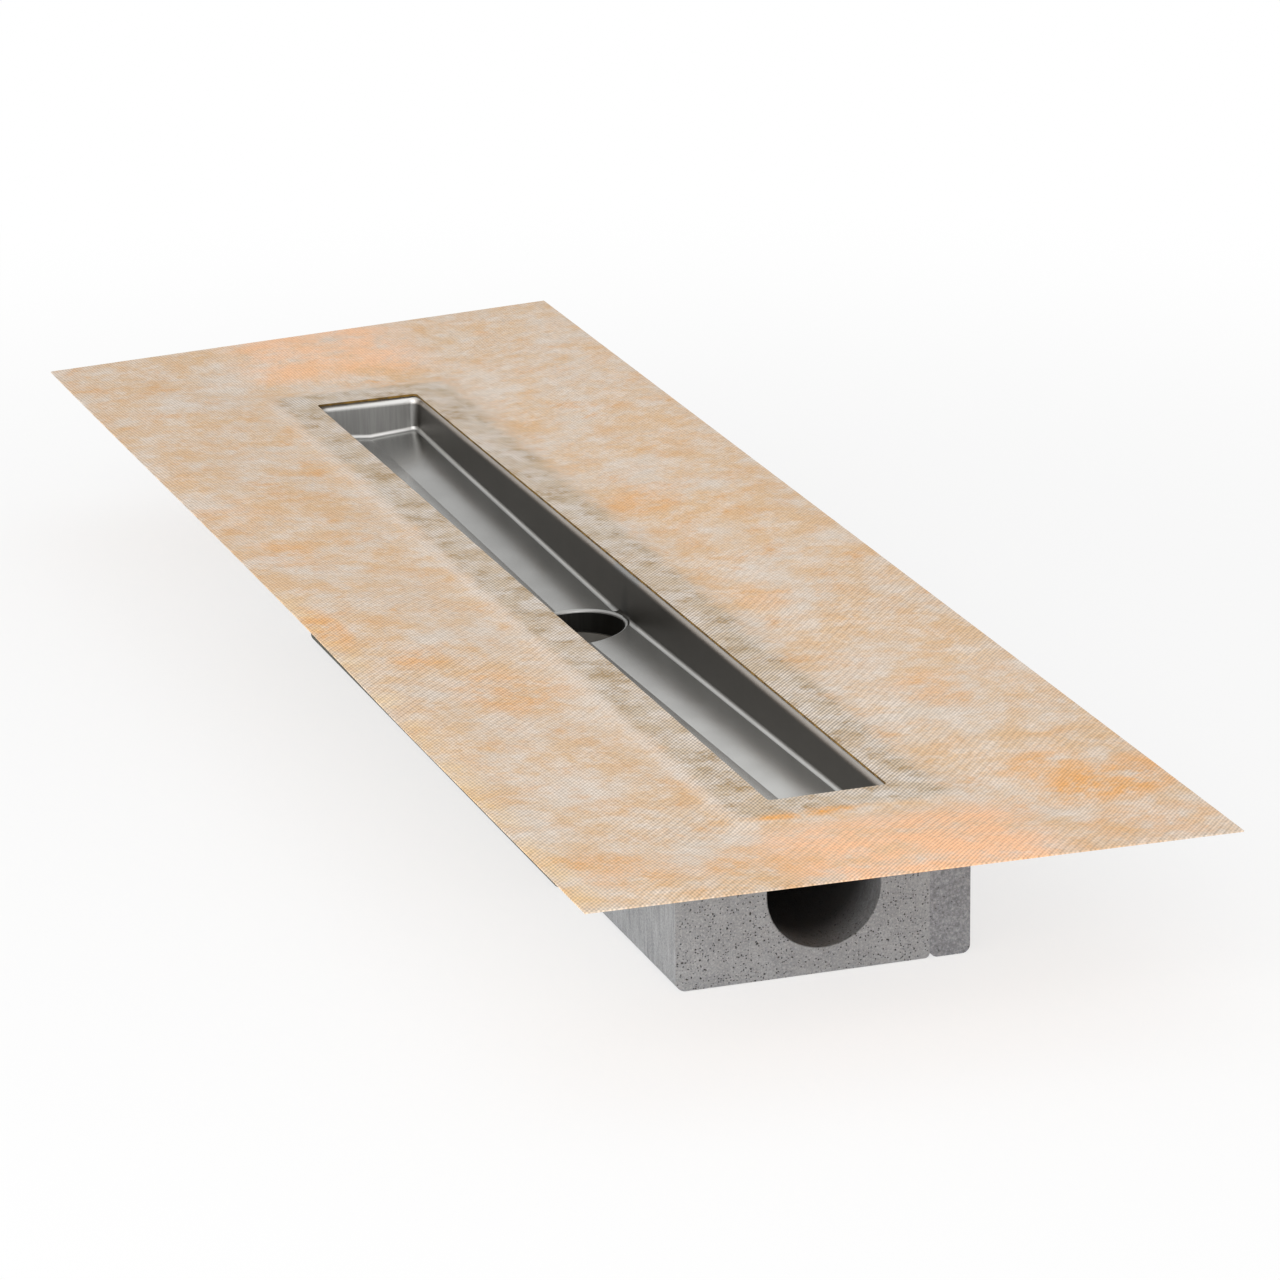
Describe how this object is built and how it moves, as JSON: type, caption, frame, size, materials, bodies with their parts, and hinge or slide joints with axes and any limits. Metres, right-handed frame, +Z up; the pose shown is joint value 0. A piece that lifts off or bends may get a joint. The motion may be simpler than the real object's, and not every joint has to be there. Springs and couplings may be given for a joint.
{
  "type": "linear shower drain",
  "caption": "Channel drain for a tiled shower floor: stainless trough in a fleece collar, on a foam support with a trap and a side waste outlet.",
  "frame": {"origin": "on the ground, under the axis of the outlet at the middle of the channel", "axes": "+Z up, +Y along the channel away from the waste outlet, +X across the channel"},
  "size_m": [0.38, 1.21, 0.11],
  "materials": {
    "fleece": "matt fleece",
    "adhesive": "satin",
    "stainless": "satin, drawn",
    "rubber": "matt",
    "trap_plastic": "satin",
    "insert_plastic": "gloss",
    "cut_foam": "cut bead foam with small pores",
    "moulded_foam": "moulded bead foam"
  },
  "bodies": {
    "root": {"waterproofing_collar": "fleece", "collar_adhesive": "adhesive", "channel_body": "stainless", "neck_lip_seal": "rubber", "seal_retaining_ring": "trap_plastic", "trap_body": "trap_plastic", "trap_pan": "trap_plastic", "trap_cup": "insert_plastic", "dip_tube": "insert_plastic", "dip_tube_o_ring": "rubber", "support_block": "cut_foam", "right_side_block": "moulded_foam", "left_side_block": "moulded_foam"}
  },
  "joints": []
}
